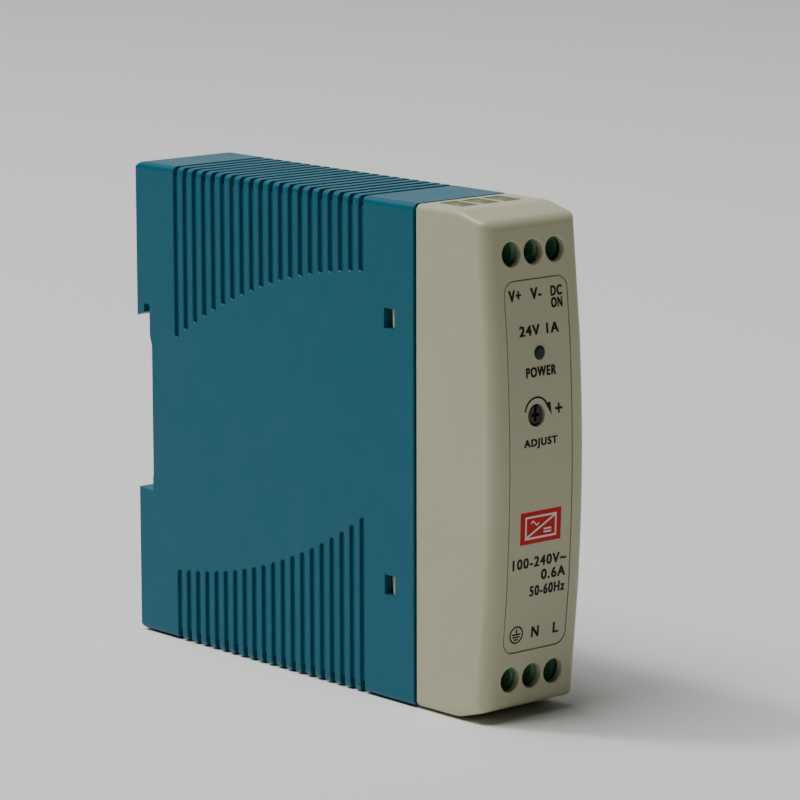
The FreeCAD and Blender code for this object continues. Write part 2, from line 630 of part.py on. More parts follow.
def light_pipe():
    radius, front, back = LIGHT_PIPE
    rod = rod_y(radius, (front, back), LAMP_X, LAMP_Z)
    rod = rod.makeFillet(0.3, [e for e in rod.Edges if abs(e.CenterOfMass.y - front) < 1e-6])
    stop = rod_y(radius + 0.7, (LAMP_COLLAR_END_Y, LAMP_COLLAR_END_Y + 1.2), LAMP_X, LAMP_Z)
    return union(rod, stop)


def trimmer_body():
    half, front = TRIM_BODY
    base = box((TRIM_X - half, TRIM_X + half), (front, FRONT_BOARD_Y - 0.3), (TRIM_Z - half, TRIM_Z + half))
    base = base.makeFillet(0.4, [e for e in base.Edges if abs(e.CenterOfMass.y - front) > 1
                                 and abs(e.CenterOfMass.y - FRONT_BOARD_Y + 0.3) > 1])
    places = [(-2.2, -2.2), (2.2, -2.2), (0.0, 2.2)]
    leads = [front_lead(TRIM_X + dx, TRIM_Z + dz, 0.3, FRONT_BOARD_Y - 0.3) for dx, dz in places]
    return minus(union(base, *leads), rod_y(TRIM_SOCKET[0], (front - 1, TRIM_SOCKET[1]), TRIM_X, TRIM_Z))


def trimmer_rotor():
    """The adjuster's shaft, with a cross slot in its end. One arm of the cross is longer."""
    radius, front, back = TRIM_ROTOR
    shaft = rod_y(radius, (front, back), TRIM_X, TRIM_Z)
    shaft = shaft.makeChamfer(0.2, [e for e in shaft.Edges if abs(e.CenterOfMass.y - front) < 1e-6])
    upright = centred_box((TRIM_X, front, TRIM_Z + 0.2), (0.55, 1.8, 2.6))
    level = centred_box((TRIM_X, front, TRIM_Z), (2.0, 1.8, 0.55))
    return minus(shaft, upright, level)


# ---- Parts on the main board ------------------------------------------------------------------
def board_lead(y, z, radius, start_x=MOUNT_X):
    """A lead from a part on the main board, through the board."""
    main_board_drills.append((y, z, radius))
    return rod_x(radius, (LEAD_TIP_X, start_x + 0.2), y, z)


def boxed_part(y, z, size, leads, lift=0.0, radius=0.35, rounding=0.3):
    """A box-shaped part: size is (height off the board, y, z). Leads are (dy, dz) from its middle."""
    base = MOUNT_X + lift
    body = box((base, base + size[0]), (y - size[1] / 2, y + size[1] / 2), (z - size[2] / 2, z + size[2] / 2))
    if rounding:
        body = body.makeFillet(rounding, [e for e in body.Edges if e.CenterOfMass.x > base + 0.01])
    return union(body, *[board_lead(y + dy, z + dz, radius, base) for dy, dz in leads])


def disc_part(y, z, radius, thickness, lead_z, along_y=True):
    """A coated disc standing on two leads."""
    x = MOUNT_X + 1.2 + radius
    half = thickness / 2
    if along_y:
        disc = rod_y(radius, (y - half, y + half), x, z)
    else:
        disc = rod_z(radius, (z - half, z + half), x, y)
    disc = disc.makeFillet(half * 0.55, [e for e in disc.Edges if e.Length > radius * 4])
    steps = [(0, -lead_z), (0, lead_z)] if along_y else [(-lead_z, 0), (lead_z, 0)]
    return union(disc, *[board_lead(y + dy, z + dz, 0.3, x - radius * 0.6) for dy, dz in steps])


def lying_capacitor(y, z, radius, length, along_z):
    """An electrolytic can that lies on the board, with a groove near its lead end."""
    x = MOUNT_X + 0.2 + radius
    start = (z if along_z else y) - length / 2
    make = (lambda r, span: rod_z(r, span, x, y)) if along_z else (lambda r, span: rod_y(r, span, x, z))
    can = make(radius, (start, start + length))
    ends = [e for e in can.Edges if e.Length > radius * 4]
    can = can.makeFillet(0.6, ends)
    groove = make(radius + 1, (start + 2.2, start + 3.0)).cut(make(radius - 0.35, (start + 2, start + 3.2)))
    can = minus(can, groove)
    leads = []
    for step in (-radius * 0.4, radius * 0.4):
        lead_y, lead_z = (y + step, start - 1.2) if along_z else (start - 1.2, z + step)
        stem = board_lead(lead_y, lead_z, 0.35, x)
        tail = (rod_z(0.35, (start - 1.2, start + 0.5), x, lead_y) if along_z
                else rod_y(0.35, (start - 1.2, start + 0.5), x, lead_z))
        leads.append(union(stem, tail))
    return union(can, *leads)


def transistor_on_plate(prefix, plate_y, z, device, screw):
    """An upright aluminium plate, a screwed-on power device and its screw."""
    plate = box((MOUNT_X + 0.3, 8.2), (plate_y, plate_y + 1.6), (z - 9, z + 9))
    fins = [box((MOUNT_X + 0.3, 8.2), (plate_y - 2.0, plate_y + 0.1), (z + dz - 0.5, z + dz + 0.5))
            for dz in (-8.5, -5.1, -1.7, 1.7, 5.1, 8.5)]
    feet = [board_lead(plate_y + 0.8, z + dz, 0.7, MOUNT_X + 0.3) for dz in (-7, 7)]
    screw_x = 3.6
    thread = rod_y(1.25, (plate_y - 3, plate_y + 3), screw_x, z)
    nodes[prefix + "_heatsink"] = minus(union(plate, *fins, *feet), thread)
    low = MOUNT_X + 1.9
    front = plate_y + 1.6
    body = box((low, low + 10.8), (front, front + 2.7), (z - 3.9, z + 3.9))
    body = body.makeChamfer(0.35, [e for e in body.Edges if abs(e.CenterOfMass.y - front - 2.7) < 1e-6])
    leads = [board_lead(front + 1.2, z + dz, 0.4, low) for dz in (-2.3, 0, 2.3)]
    nodes[device] = minus(union(body, *leads), rod_y(1.6, (front - 1, front + 4), screw_x, z))
    head = rod_y(2.6, (front + 2.7, front + 4.5), screw_x, z)
    head = head.makeFillet(0.6, [e for e in head.Edges if abs(e.CenterOfMass.y - front - 4.5) < 1e-6])
    shaft = rod_y(1.2, (plate_y - 1.5, front + 2.8), screw_x, z)
    recess = [centred_box((screw_x, front + 4.5, z), size) for size in ((0.7, 2.0, 2.6), (2.6, 2.0, 0.7))]
    nodes[screw] = minus(union(head, shaft), *recess)


def make_transformer(y, z):
    """Two E-shaped core halves, the bobbin with its pins, and the taped winding."""
    x = MOUNT_X + 7.2
    half, leg, back, reach = 10.0, 3.0, 3.0, 10.0
    core_x = (x - 2.95, x + 2.95)
    upper = union(box(core_x, (y - half, y + half), (z + reach - back, z + reach)),
                  box(core_x, (y - half, y - half + leg), (z, z + reach)),
                  box(core_x, (y + half - leg, y + half), (z, z + reach)),
                  box(core_x, (y - 2.95, y + 2.95), (z, z + reach)))
    lower = upper.mirror(V(x, y, z), V(0, 0, 1))
    nodes["transformer_core_upper"] = upper
    nodes["transformer_core_lower"] = lower
    length = reach - back - 0.1
    tube = centred_box((x, y, z), (8.0, 8.0, 2 * length))
    flanges = [centred_box((x, y, z + s * (length - 0.5)), (13.4, 13.4, 1.0)) for s in (-1, 1)]
    rails = [box((MOUNT_X + 0.3, x - 3.1), (y - 6.7, y + 6.7), (z + s * (length + 2.4) - 2.6,
             z + s * (length + 2.4) + 2.6)) for s in (-1, 1)]
    bore = centred_box((x, y, z), (6.2, 6.2, 4 * reach))
    pins = [board_lead(y + dy, z + s * (length + 3.6), 0.4, MOUNT_X + 0.3)
            for s in (-1, 1) for dy in (-5.0, -2.5, 0.0, 2.5, 5.0)]
    nodes["transformer_bobbin"] = minus(union(tube, *flanges, *rails, *pins), bore)
    coil = centred_box((x, y, z), (12.6, 12.6, 2 * length - 2.0))
    coil = coil.makeFillet(1.8, [e for e in coil.Edges if abs(e.CenterOfMass.z - z) < 1e-6])
    nodes["transformer_winding"] = minus(coil, centred_box((x, y, z), (8.0, 8.0, 4 * reach)))


def ring(radius, thickness, centre, axis):
    x, y, z = centre
    return Part.makeTorus(radius, thickness, V(x, y, z), axis)


def make_choke(y, z):
    """A common-mode choke: a square ferrite ring with a winding on each side leg."""
    x = MOUNT_X + 7.0
    core_x = (x - 2.0, x + 2.0)
    outer = box(core_x, (y - 6.8, y + 6.8), (z - 7.0, z + 7.0))
    nodes["choke_core"] = minus(outer, box((x - 3, x + 3), (y - 3.4, y + 3.4), (z - 3.6, z + 3.6)))
    for number, side in enumerate((-1, 1), 1):
        leg_y = y + side * 5.1
        turns = [rod_z(3.1, (z - 3.3 + 0.94 * i, z - 3.3 + 0.94 * i + 0.86), x, leg_y) for i in range(7)]
        sleeve = rod_z(2.95, (z - 3.3, z + 3.3), x, leg_y)
        wound = union(sleeve, *turns)
        bore = centred_box((x, leg_y, z), (4.1, 3.5, 20))
        tails = [board_lead(leg_y, z + s * 2.6, 0.4, x - 2.6) for s in (-1, 1)]
        nodes[f"choke_winding_{number}"] = minus(union(wound, *tails), bore)


def make_output_inductor(y, z):
    """A ferrite drum that stands on the board, and its winding."""
    low, high = MOUNT_X + 0.2, MOUNT_X + 11.2
    drum = union(rod_x(6.0, (low, low + 1.6), y, z), rod_x(3.0, (low, high), y, z),
                 rod_x(6.0, (high - 1.6, high), y, z))
    pins = [board_lead(y, z + s * 4.6, 0.45, low) for s in (-1, 1)]
    nodes["output_inductor_core"] = union(drum, *pins)
    winding = rod_x(5.4, (low + 1.6, high - 1.6), y, z)
    turns = [rod_x(5.6, (low + 1.65 + 0.97 * i, low + 2.55 + 0.97 * i), y, z) for i in range(8)]
    nodes["output_inductor_winding"] = minus(union(winding, *turns), rod_x(3.0, (low, high), y, z))


def make_header(name, z_places):
    """Right-angle pins that join the main board to the front board, in their moulded strip."""
    x, y, half = -4.4, -23.8, 0.32
    pins = []
    for z in z_places:
        main_board_drills.append((y, z, half * math.sqrt(2)))
        front_board_drills.append((x, z, half * math.sqrt(2)))
        stem = box((LEAD_TIP_X, x + half), (y - half, y + half), (z - half, z + half))
        arm = box((x - half, x + half), (FRONT_BOARD_Y - 1.0, y + half), (z - half, z + half))
        pins.append(union(stem, arm))
    strip = box((MOUNT_X, x + 1.3), (-26.1, y + 1.5), (min(z_places) - 1.3, max(z_places) + 1.3))
    nodes[name] = minus(strip, *pins)
    nodes[name + "_pins"] = Part.makeCompound(pins)


def make_main_board_parts():
    nodes["fuse"] = boxed_part(-18.0, 14.0, (7.8, 4.0, 8.4), [(0, -2.5), (0, 2.5)])
    nodes["inrush_thermistor"] = disc_part(-11.5, 13.0, 4.5, 3.4, 2.5)
    nodes["surge_varistor"] = disc_part(-5.5, 13.0, 4.5, 3.4, 2.5)
    nodes["line_filter_capacitor"] = boxed_part(1.5, 14.0, (11.0, 5.2, 13.0), [(0, -5.0), (0, 5.0)])
    make_choke(14.0, 14.0)
    nodes["bridge_rectifier"] = boxed_part(
        25.2, 14.0, (9.5, 3.4, 14.0), [(0, -5.1), (0, -1.7), (0, 1.7), (0, 5.1)], lift=1.5)
    nodes["bulk_capacitor"] = lying_capacitor(34.0, 38.5, 6.5, 26.0, True)
    transistor_on_plate("primary", 15.6, 33.0, "switching_transistor", "transistor_screw")
    make_transformer(2.0, 45.0)
    nodes["controller_chip"] = boxed_part(
        -15.5, 32.0, (3.3, 9.4, 6.4), [(dy, dz) for dy in (-3.81, -1.27, 1.27, 3.81) for dz in (-2.6, 2.6)],
        lift=0.5, radius=0.28)
    nodes["optocoupler"] = boxed_part(
        -16.0, 44.0, (3.4, 4.6, 6.4), [(dy, dz) for dy in (-1.27, 1.27) for dz in (-2.6, 2.6)],
        lift=0.5, radius=0.28)
    nodes["safety_capacitor"] = disc_part(-15.5, 53.5, 3.6, 2.8, 2.4, along_y=False)
    transistor_on_plate("secondary", 22.0, 67.5, "output_diode", "diode_screw")
    nodes["output_capacitor_1"] = lying_capacitor(-8.5, 79.8, 5.0, 20.0, False)
    nodes["output_capacitor_2"] = lying_capacitor(-8.5, 68.8, 5.0, 20.0, False)
    make_output_inductor(10.5, 75.0)
    make_header("header_upper", [59.2 + 2.54 * i for i in range(3)])
    make_header("header_lower", [26.5 + 5.08 * i for i in range(3)])


# ---- Boards and sheet -------------------------------------------------------------------------
def main_board():
    plate = box((MAIN_BOARD_X, MOUNT_X), MAIN_BOARD_Y, MAIN_BOARD_Z)
    span = (MAIN_BOARD_X - 1, MOUNT_X + 1)
    return minus(plate, *[rod_x(r + DRILL_CLEARANCE, span, y, z) for y, z, r in main_board_drills])


def front_board():
    y = (FRONT_BOARD_Y, FRONT_BOARD_Y + BOARD)
    plate = box((-FRONT_BOARD_HALF_X, FRONT_BOARD_HALF_X), y, FRONT_BOARD_Z)
    span = (y[0] - 1, y[1] + 1)
    return minus(plate, *[rod_y(r + DRILL_CLEARANCE, span, x, z) for x, z, r in front_board_drills])


def insulation_sheet():
    z = (HOUSING_WALL + GUIDE_HEIGHT + 0.4, CAVITY_TOP_Z - GUIDE_HEIGHT - 0.4)
    return box(SHEET_X, (MAIN_BOARD_Y[0] + 8, MAIN_BOARD_Y[1] - 0.5), z)


# ---- Assembly ---------------------------------------------------------------------------------
nodes["rear_housing"] = rear_housing()
nodes["front_cover"] = front_cover()
nodes["front_label"] = front_label()
nodes["din_latch"] = din_latch()
nodes["latch_spring"] = latch_spring()
make_terminals()
nodes["lamp"] = lamp()
nodes["light_pipe"] = light_pipe()
nodes["trimmer_body"] = trimmer_body()
nodes["trimmer_rotor"] = trimmer_rotor()
make_main_board_parts()
nodes["main_board"] = main_board()
nodes["front_board"] = front_board()
nodes["insulation_sheet"] = insulation_sheet()

os.makedirs("parts", exist_ok=True)
for name, shape in nodes.items():
    shape.exportStep("parts/" + name + ".step")
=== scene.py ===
import json
import math

import bmesh
import bpy
from mathutils import Matrix, Vector
from mathutils.bvhtree import BVHTree
from mathutils.geometry import tessellate_polygon


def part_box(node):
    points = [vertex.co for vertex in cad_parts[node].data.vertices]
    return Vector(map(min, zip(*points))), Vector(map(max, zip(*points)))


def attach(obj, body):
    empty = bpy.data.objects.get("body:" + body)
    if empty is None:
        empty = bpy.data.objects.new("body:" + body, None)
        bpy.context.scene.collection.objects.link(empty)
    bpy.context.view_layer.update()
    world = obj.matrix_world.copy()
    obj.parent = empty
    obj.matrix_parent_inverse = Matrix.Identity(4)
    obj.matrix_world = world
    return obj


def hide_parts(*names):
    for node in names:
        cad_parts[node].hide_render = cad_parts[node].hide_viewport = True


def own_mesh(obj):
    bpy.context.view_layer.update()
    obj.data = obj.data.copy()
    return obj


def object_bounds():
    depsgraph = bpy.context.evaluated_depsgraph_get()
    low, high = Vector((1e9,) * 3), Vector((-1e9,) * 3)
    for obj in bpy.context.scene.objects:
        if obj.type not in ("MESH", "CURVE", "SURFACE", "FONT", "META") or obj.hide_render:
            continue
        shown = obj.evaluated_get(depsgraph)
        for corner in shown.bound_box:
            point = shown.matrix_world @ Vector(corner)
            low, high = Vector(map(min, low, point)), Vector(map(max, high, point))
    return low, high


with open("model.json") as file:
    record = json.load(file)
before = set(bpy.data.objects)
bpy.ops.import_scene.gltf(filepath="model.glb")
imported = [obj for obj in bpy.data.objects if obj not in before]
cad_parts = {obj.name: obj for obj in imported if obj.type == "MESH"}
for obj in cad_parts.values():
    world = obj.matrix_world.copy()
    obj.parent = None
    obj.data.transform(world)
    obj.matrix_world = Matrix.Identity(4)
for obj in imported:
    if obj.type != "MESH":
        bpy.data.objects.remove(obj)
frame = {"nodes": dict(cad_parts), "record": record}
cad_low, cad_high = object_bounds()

MM = 0.001               # one millimetre, in metres
NODES = frame["nodes"]
CASE = "case"            # the body that every piece made here rides on


# ---- Node tree helpers ------------------------------------------------------------------------
class Tree:
    """A material's node tree, with short ways to add and join the nodes used here."""

    def __init__(self, name):
        self.material = bpy.data.materials.new(name)
        self.material.use_nodes = True
        self.nodes = self.material.node_tree.nodes
        self.links = self.material.node_tree.links
        self.shader = self.nodes["Principled BSDF"]
        self.place = self.nodes.new("ShaderNodeTexCoord").outputs["Object"]

    def add(self, kind, settings=None, **inputs):
        node = self.nodes.new(kind)
        for key, value in (settings or {}).items():
            setattr(node, key, value)
        for key, value in inputs.items():
            self.feed(node.inputs[key.replace("_", " ")], value)
        return node

    def feed(self, socket, value):
        if isinstance(value, bpy.types.NodeSocket):
            self.links.new(value, socket)
        else:
            socket.default_value = value

    def stretched(self, scale, turn=(0.0, 0.0, 0.0)):
        """Object coordinates times a scale for each axis, per metre."""
        node = self.add("ShaderNodeMapping")
        self.links.new(self.place, node.inputs["Vector"])
        node.inputs["Scale"].default_value = scale
        node.inputs["Rotation"].default_value = turn
        return node.outputs["Vector"]

    def noise(self, scale, detail=3.0, roughness=0.55, distortion=0.0, vector=None):
        node = self.add("ShaderNodeTexNoise", Scale=scale, Detail=detail, Roughness=roughness,
                        Distortion=distortion)
        self.links.new(vector or self.place, node.inputs["Vector"])
        return node.outputs["Fac"]

    def ramp(self, value, stops):
        """Maps a value through (position, grey) stops."""
        node = self.add("ShaderNodeValToRGB")
        self.links.new(value, node.inputs["Fac"])
        elements = node.color_ramp.elements
        while len(elements) < len(stops):
            elements.new(0.5)
        for element, (position, grey) in zip(elements, stops):
            element.position = position
            element.color = (grey, grey, grey, 1.0)
        return node.outputs["Color"]

    def math(self, operation, a, b=0.0, clamp=False):
        node = self.add("ShaderNodeMath", {"operation": operation, "use_clamp": clamp})
        self.feed(node.inputs[0], a)
        self.feed(node.inputs[1], b)
        return node.outputs["Value"]

    def mix(self, factor, a, b, blend="MIX"):
        """Mixes two colours."""
        node = self.add("ShaderNodeMix", {"data_type": "RGBA", "blend_type": blend})
        self.feed(node.inputs[0], factor)
        self.feed(node.inputs[6], a)
        self.feed(node.inputs[7], b)
        return node.outputs[2]

    def bump(self, height, distance, strength=1.0, before=None):
        node = self.add("ShaderNodeBump", Strength=strength, Distance=distance, Height=height)
        if before is not None:
            self.links.new(before, node.inputs["Normal"])
        return node.outputs["Normal"]

    def finish(self, colour, roughness, normal=None, **fixed):
        self.feed(self.shader.inputs["Base Color"], colour)
        self.feed(self.shader.inputs["Roughness"], roughness)
        if normal is not None:
            self.links.new(normal, self.shader.inputs["Normal"])
        for key, value in fixed.items():
            self.shader.inputs[key.replace("_", " ")].default_value = value
        return self.material


def rgb(red, green, blue):
    """A linear colour from 0-255 screen values."""
    def linear(value):
        value /= 255.0
        return value / 12.92 if value <= 0.04045 else ((value + 0.055) / 1.055) ** 2.4
    return (linear(red), linear(green), linear(blue), 1.0)


def scaled(colour, factor):
    return tuple(min(1.0, channel * factor) for channel in colour[:3]) + (1.0,)


# ---- Materials --------------------------------------------------------------------------------
def moulded(name, colour, rough=0.5, grain=0.000003, grain_scale=5200.0, mottle=0.05, scuffs=0.25,
            **fixed):
    """Injection-moulded plastic: spark-eroded grain, faint flow mottling, fine scuffs and dust.

    Grain is the depth of that grain, in metres."""
    tree = Tree(name)
    fine = tree.noise(grain_scale, 4.0, 0.65)
    coarse = tree.noise(grain_scale * 0.38, 2.0, 0.5)
    flow = tree.noise(38.0, 4.0, 0.6, 0.4)
    cloud = tree.noise(160.0, 3.0, 0.55)
    scratch_a = tree.noise(1.0, 3.0, 0.6, 0.0, tree.stretched((5200.0, 170.0, 260.0), (0.0, 0.35, 0.2)))
    scratch_b = tree.noise(1.0, 3.0, 0.6, 0.0, tree.stretched((240.0, 260.0, 6100.0), (0.6, 0.0, 0.4)))
    lines = tree.math("MAXIMUM", tree.ramp(scratch_a, [(0.70, 0.0), (0.76, 1.0)]),
                      tree.ramp(scratch_b, [(0.71, 0.0), (0.78, 1.0)]))
    lines = tree.math("MULTIPLY", lines, tree.ramp(cloud, [(0.42, 0.0), (0.70, scuffs)]))
    dust = tree.math("MULTIPLY", tree.ramp(tree.noise(2600.0, 2.0), [(0.66, 0.0), (0.78, 1.0)]),
                     tree.ramp(flow, [(0.45, 0.0), (0.75, 0.30)]))
    shade = tree.math("ADD", tree.math("MULTIPLY", flow, 2.0 * mottle), 1.0 - mottle)
    shade = tree.math("ADD", shade, tree.math("MULTIPLY", fine, 0.12))
    shade = tree.math("SUBTRACT", shade, 0.06)
    base = tree.mix(1.0, colour, tree.add("ShaderNodeCombineColor", Red=shade, Green=shade,
                                          Blue=shade).outputs["Color"], "MULTIPLY")
    lighter = tuple(channel * 0.6 + 0.22 for channel in colour[:3]) + (1.0,)
    base = tree.mix(tree.math("MULTIPLY", tree.math("ADD", lines, dust), 0.35, True), base, lighter)
    roughness = tree.math("ADD", tree.math("MULTIPLY", cloud, 0.16), rough - 0.08)
    roughness = tree.math("ADD", roughness, tree.math("MULTIPLY", fine, 0.10))
    roughness = tree.math("SUBTRACT", roughness, tree.math("MULTIPLY", lines, 0.12), True)
    height = tree.math("ADD", tree.math("MULTIPLY", fine, 0.6), tree.math("MULTIPLY", coarse, 0.6))
    height = tree.math("SUBTRACT", height, tree.math("MULTIPLY", lines, 0.5))
    normal = tree.bump(tree.noise(70.0, 2.0), 0.00006)
    normal = tree.bump(height, grain, 1.0, normal)
    return tree.finish(base, roughness, normal, **fixed)


def metal(name, colour, rough=0.3, lay=(1.0, 1.0, 30.0), tarnish=None, **fixed):
    """Metal with fine lay marks, cloudy roughness and a little tarnish."""
    tree = Tree(name)
    marks = tree.noise(1.0, 4.0, 0.65, 0.0, tree.stretched(tuple(400.0 * part for part in lay)))
    cloud = tree.noise(420.0, 4.0, 0.6, 0.3)
    pits = tree.ramp(tree.noise(3800.0, 2.0), [(0.62, 0.0), (0.75, 1.0)])
    stain = tree.ramp(cloud, [(0.48, 0.0), (0.78, 0.55)])
    base = tree.mix(stain, colour, tarnish or scaled(colour, 0.62))
    base = tree.mix(tree.math("MULTIPLY", pits, 0.25), base, scaled(colour, 0.4))
    roughness = tree.math("ADD", tree.math("MULTIPLY", cloud, 0.22), rough - 0.08)
    roughness = tree.math("ADD", roughness, tree.math("MULTIPLY", marks, 0.10), True)
    normal = tree.bump(tree.math("ADD", marks, tree.math("MULTIPLY", pits, 0.5)), 0.000006)
    return tree.finish(base, roughness, normal, Metallic=1.0, **fixed)


def laminate(name, colour):
    """Circuit board: solder mask over woven glass, with paler tracks under it."""
    tree = Tree(name)
    warp = tree.add("ShaderNodeTexWave", {"bands_direction": "Y"}, Scale=420.0, Distortion=0.6)
    weft = tree.add("ShaderNodeTexWave", {"bands_direction": "Z"}, Scale=420.0, Distortion=0.6)
    for node in (warp, weft):
        tree.links.new(tree.place, node.inputs["Vector"])
    weave = tree.math("MULTIPLY", warp.outputs["Fac"], weft.outputs["Fac"])
    track = tree.add("ShaderNodeTexBrick", {"offset": 0.35}, Scale=190.0)
    tree.links.new(tree.stretched((1.0, 1.0, 1.0), (0.0, math.pi / 2, 0.0)), track.inputs["Vector"])
    track.inputs["Color1"].default_value = scaled(colour, 1.25)
    track.inputs["Color2"].default_value = colour
    track.inputs["Mortar"].default_value = scaled(colour, 0.72)
    track.inputs["Mortar Size"].default_value = 0.03
    base = tree.mix(tree.math("MULTIPLY", weave, 0.3), track.outputs["Color"], scaled(colour, 1.5))
    base = tree.mix(tree.ramp(tree.noise(240.0, 4.0), [(0.4, 0.0), (0.8, 0.35)]), base, scaled(colour, 0.7))
    roughness = tree.math("ADD", tree.math("MULTIPLY", tree.noise(600.0), 0.2), 0.28)
    normal = tree.bump(tree.math("ADD", weave, tree.noise(2200.0)), 0.00001)
    return tree.finish(base, roughness, normal, Coat_Weight=0.25, Coat_Roughness=0.2)


def wound(name, colour, axis, per_metre):
    """Enamelled wire laid side by side: round turns, with painted shade darkening the gaps between them."""
    tree = Tree(name)
    turns = tree.add("ShaderNodeTexWave", {"bands_direction": axis, "wave_profile": "SIN"},
                     Scale=per_metre, Distortion=0.15, Detail=1.0)
    tree.links.new(tree.place, turns.inputs["Vector"])
    wave = turns.outputs["Fac"]
    # Painted shade: the colour falls to an eighth of itself in the grooves between the turns.
    base = tree.mix(tree.ramp(wave, [(0.0, 0.0), (0.45, 1.0)]), scaled(colour, 0.12), colour)
    base = tree.mix(tree.ramp(tree.noise(500.0, 3.0), [(0.4, 0.0), (0.8, 0.5)]), base, scaled(colour, 0.65))
    roughness = tree.math("ADD", tree.math("MULTIPLY", tree.noise(900.0), 0.2), 0.22)
    normal = tree.bump(wave, 0.00012)
    return tree.finish(base, roughness, normal, Metallic=0.65, Coat_Weight=0.5, Coat_Roughness=0.15)


def glossy_case(name, colour, rough=0.22, **fixed):
    """Shrink sleeve, tape or cast epoxy: smooth, slightly wavy and dusty."""
    tree = Tree(name)
    waves = tree.noise(300.0, 3.0, 0.5, 0.5)
    dust = tree.ramp(tree.noise(3000.0, 3.0), [(0.60, 0.0), (0.78, 0.3)])
    layers = tree.add("ShaderNodeTexWave", {"bands_direction": "Z"}, Scale=60.0, Distortion=1.5)
    tree.links.new(tree.place, layers.inputs["Vector"])
    base = tree.mix(tree.math("MULTIPLY", layers.outputs["Fac"], 0.12), colour, scaled(colour, 0.6))
    base = tree.mix(dust, base, (0.45, 0.44, 0.42, 1.0))
    roughness = tree.math("ADD", tree.math("MULTIPLY", waves, 0.2), rough - 0.05)
    roughness = tree.math("ADD", roughness, tree.math("MULTIPLY", dust, 0.5), True)
    normal = tree.bump(tree.math("ADD", waves, tree.math("MULTIPLY", dust, 0.4)), 0.00004)
    return tree.finish(base, roughness, normal, **fixed)


def printed(name, colour):
    """Screen-printed ink: a thin, slightly uneven film with pinholes and faint rub marks."""
    tree = Tree(name)
    pinholes = tree.ramp(tree.noise(9000.0, 2.0), [(0.70, 0.0), (0.80, 0.5)])
    thin = tree.ramp(tree.noise(900.0, 4.0), [(0.40, 0.0), (0.85, 0.22)])
    worn = tuple(channel * 0.7 + 0.02 for channel in colour[:3]) + (1.0,)
    base = tree.mix(tree.math("MAXIMUM", pinholes, thin), colour, worn)
    roughness = tree.math("ADD", tree.math("MULTIPLY", tree.noise(2500.0), 0.2), 0.38)
    normal = tree.bump(tree.noise(5200.0, 3.0), 0.000006)
    return tree.finish(base, roughness, normal, Specular_IOR_Level=0.2)


def studio(name, colour):
    """Matt paper with a very faint unevenness."""
    tree = Tree(name)
    cloud = tree.ramp(tree.noise(3.0, 3.0), [(0.3, 0.0), (0.8, 0.04)])
    base = tree.mix(cloud, colour, scaled(colour, 0.92))
    roughness = tree.math("ADD", tree.math("MULTIPLY", tree.noise(30.0), 0.08), 0.72)
    return tree.finish(base, roughness, tree.bump(tree.noise(900.0), 0.00002), Specular_IOR_Level=0.2)


TEAL = rgb(0, 92, 112)
GREY = rgb(181, 181, 148)
materials = {
    "housing_plastic": moulded("teal_plastic", TEAL, 0.42, Specular_IOR_Level=0.3),
    "cover_plastic": moulded("warm_grey_plastic", GREY, 0.36),
    "label_print": moulded("label_plastic", scaled(GREY, 0.98), 0.42, 0.000004),
    "latch_plastic": moulded("black_nylon", rgb(38, 40, 42), 0.46, 0.000008),
    "spring_steel": metal("spring_wire", rgb(200, 202, 206), 0.22, (30.0, 1.0, 1.0)),
    "terminal_plastic": moulded("green_polyamide", rgb(84, 146, 104), 0.42, 0.000003),
    "screw_steel": metal("zinc_plated_screw", rgb(205, 205, 200), 0.28, (20.0, 1.0, 20.0),
                         tarnish=rgb(150, 140, 120)),
    "cage_steel": metal("nickel_plated_cage", rgb(196, 192, 184), 0.3),
    "contact_copper": metal("tinned_contact", rgb(214, 206, 190), 0.34, tarnish=rgb(176, 140, 96)),
    "board_laminate": laminate("board_laminate", rgb(40, 92, 52)),
    "lamp_epoxy": glossy_case("lamp_epoxy", rgb(70, 150, 84), 0.12, Coat_Weight=0.5),
    # The light pipe's near-black green is partly its own colour and partly painted shade, standing in for
    # the shade of its recess.
    "light_pipe_plastic": glossy_case("light_pipe", rgb(14, 40, 24), 0.22, Specular_IOR_Level=0.2),
    "trimmer_plastic": moulded("trimmer_blue", rgb(44, 84, 160), 0.4, 0.000005),
    "rotor_plastic": moulded("trimmer_shaft", rgb(20, 19, 17), 0.4, 0.000005),
    "header_plastic": moulded("black_header", rgb(34, 34, 35), 0.45, 0.000006),
    "pin_metal": metal("tinned_pin", rgb(212, 208, 196), 0.26),
    "film_plastic": glossy_case("white_film", rgb(230, 230, 222), 0.3),
    "fuse_plastic": moulded("fuse_case", rgb(44, 44, 47), 0.4, 0.000005),
    "thermistor_coat": glossy_case("thermistor_coat", rgb(48, 52, 48), 0.42),
    "varistor_coat": glossy_case("varistor_coat", rgb(40, 84, 170), 0.3),
    "film_capacitor_case": moulded("film_capacitor", rgb(206, 184, 72), 0.36, 0.000004),
    "ferrite": moulded("ferrite", rgb(64, 64, 66), 0.62, 0.000014, 3000.0, 0.1, 0.1),
    "copper_winding": wound("copper_winding", rgb(196, 98, 50), "Z", 165.0),
    "chip_epoxy": moulded("chip_epoxy", rgb(36, 36, 38), 0.5, 0.000006),
    "capacitor_sleeve": glossy_case("capacitor_sleeve", rgb(42, 38, 92), 0.2, Coat_Weight=0.4),
    "bobbin_plastic": moulded("bobbin_plastic", rgb(52, 46, 40), 0.5, 0.000006),
    "winding_tape": glossy_case("yellow_tape", rgb(224, 186, 60), 0.25, Coat_Weight=0.3),
    "heatsink_aluminium": metal("heatsink_aluminium", rgb(205, 207, 210), 0.36, (1.0, 1.0, 30.0)),
    "ceramic_coat": glossy_case("ceramic_coat", rgb(66, 122, 180), 0.3),
}
INK = printed("black_ink", rgb(9, 9, 10))
RED = printed("red_ink", rgb(190, 8, 10))
WHITE = printed("white_ink", rgb(226, 222, 214))

slot_of = {part["node"]: part["material_slot"] for part in frame["record"]["subparts"]}
for node_name, node in NODES.items():
    node.data.materials.clear()
    node.data.materials.append(materials[slot_of[node_name]])


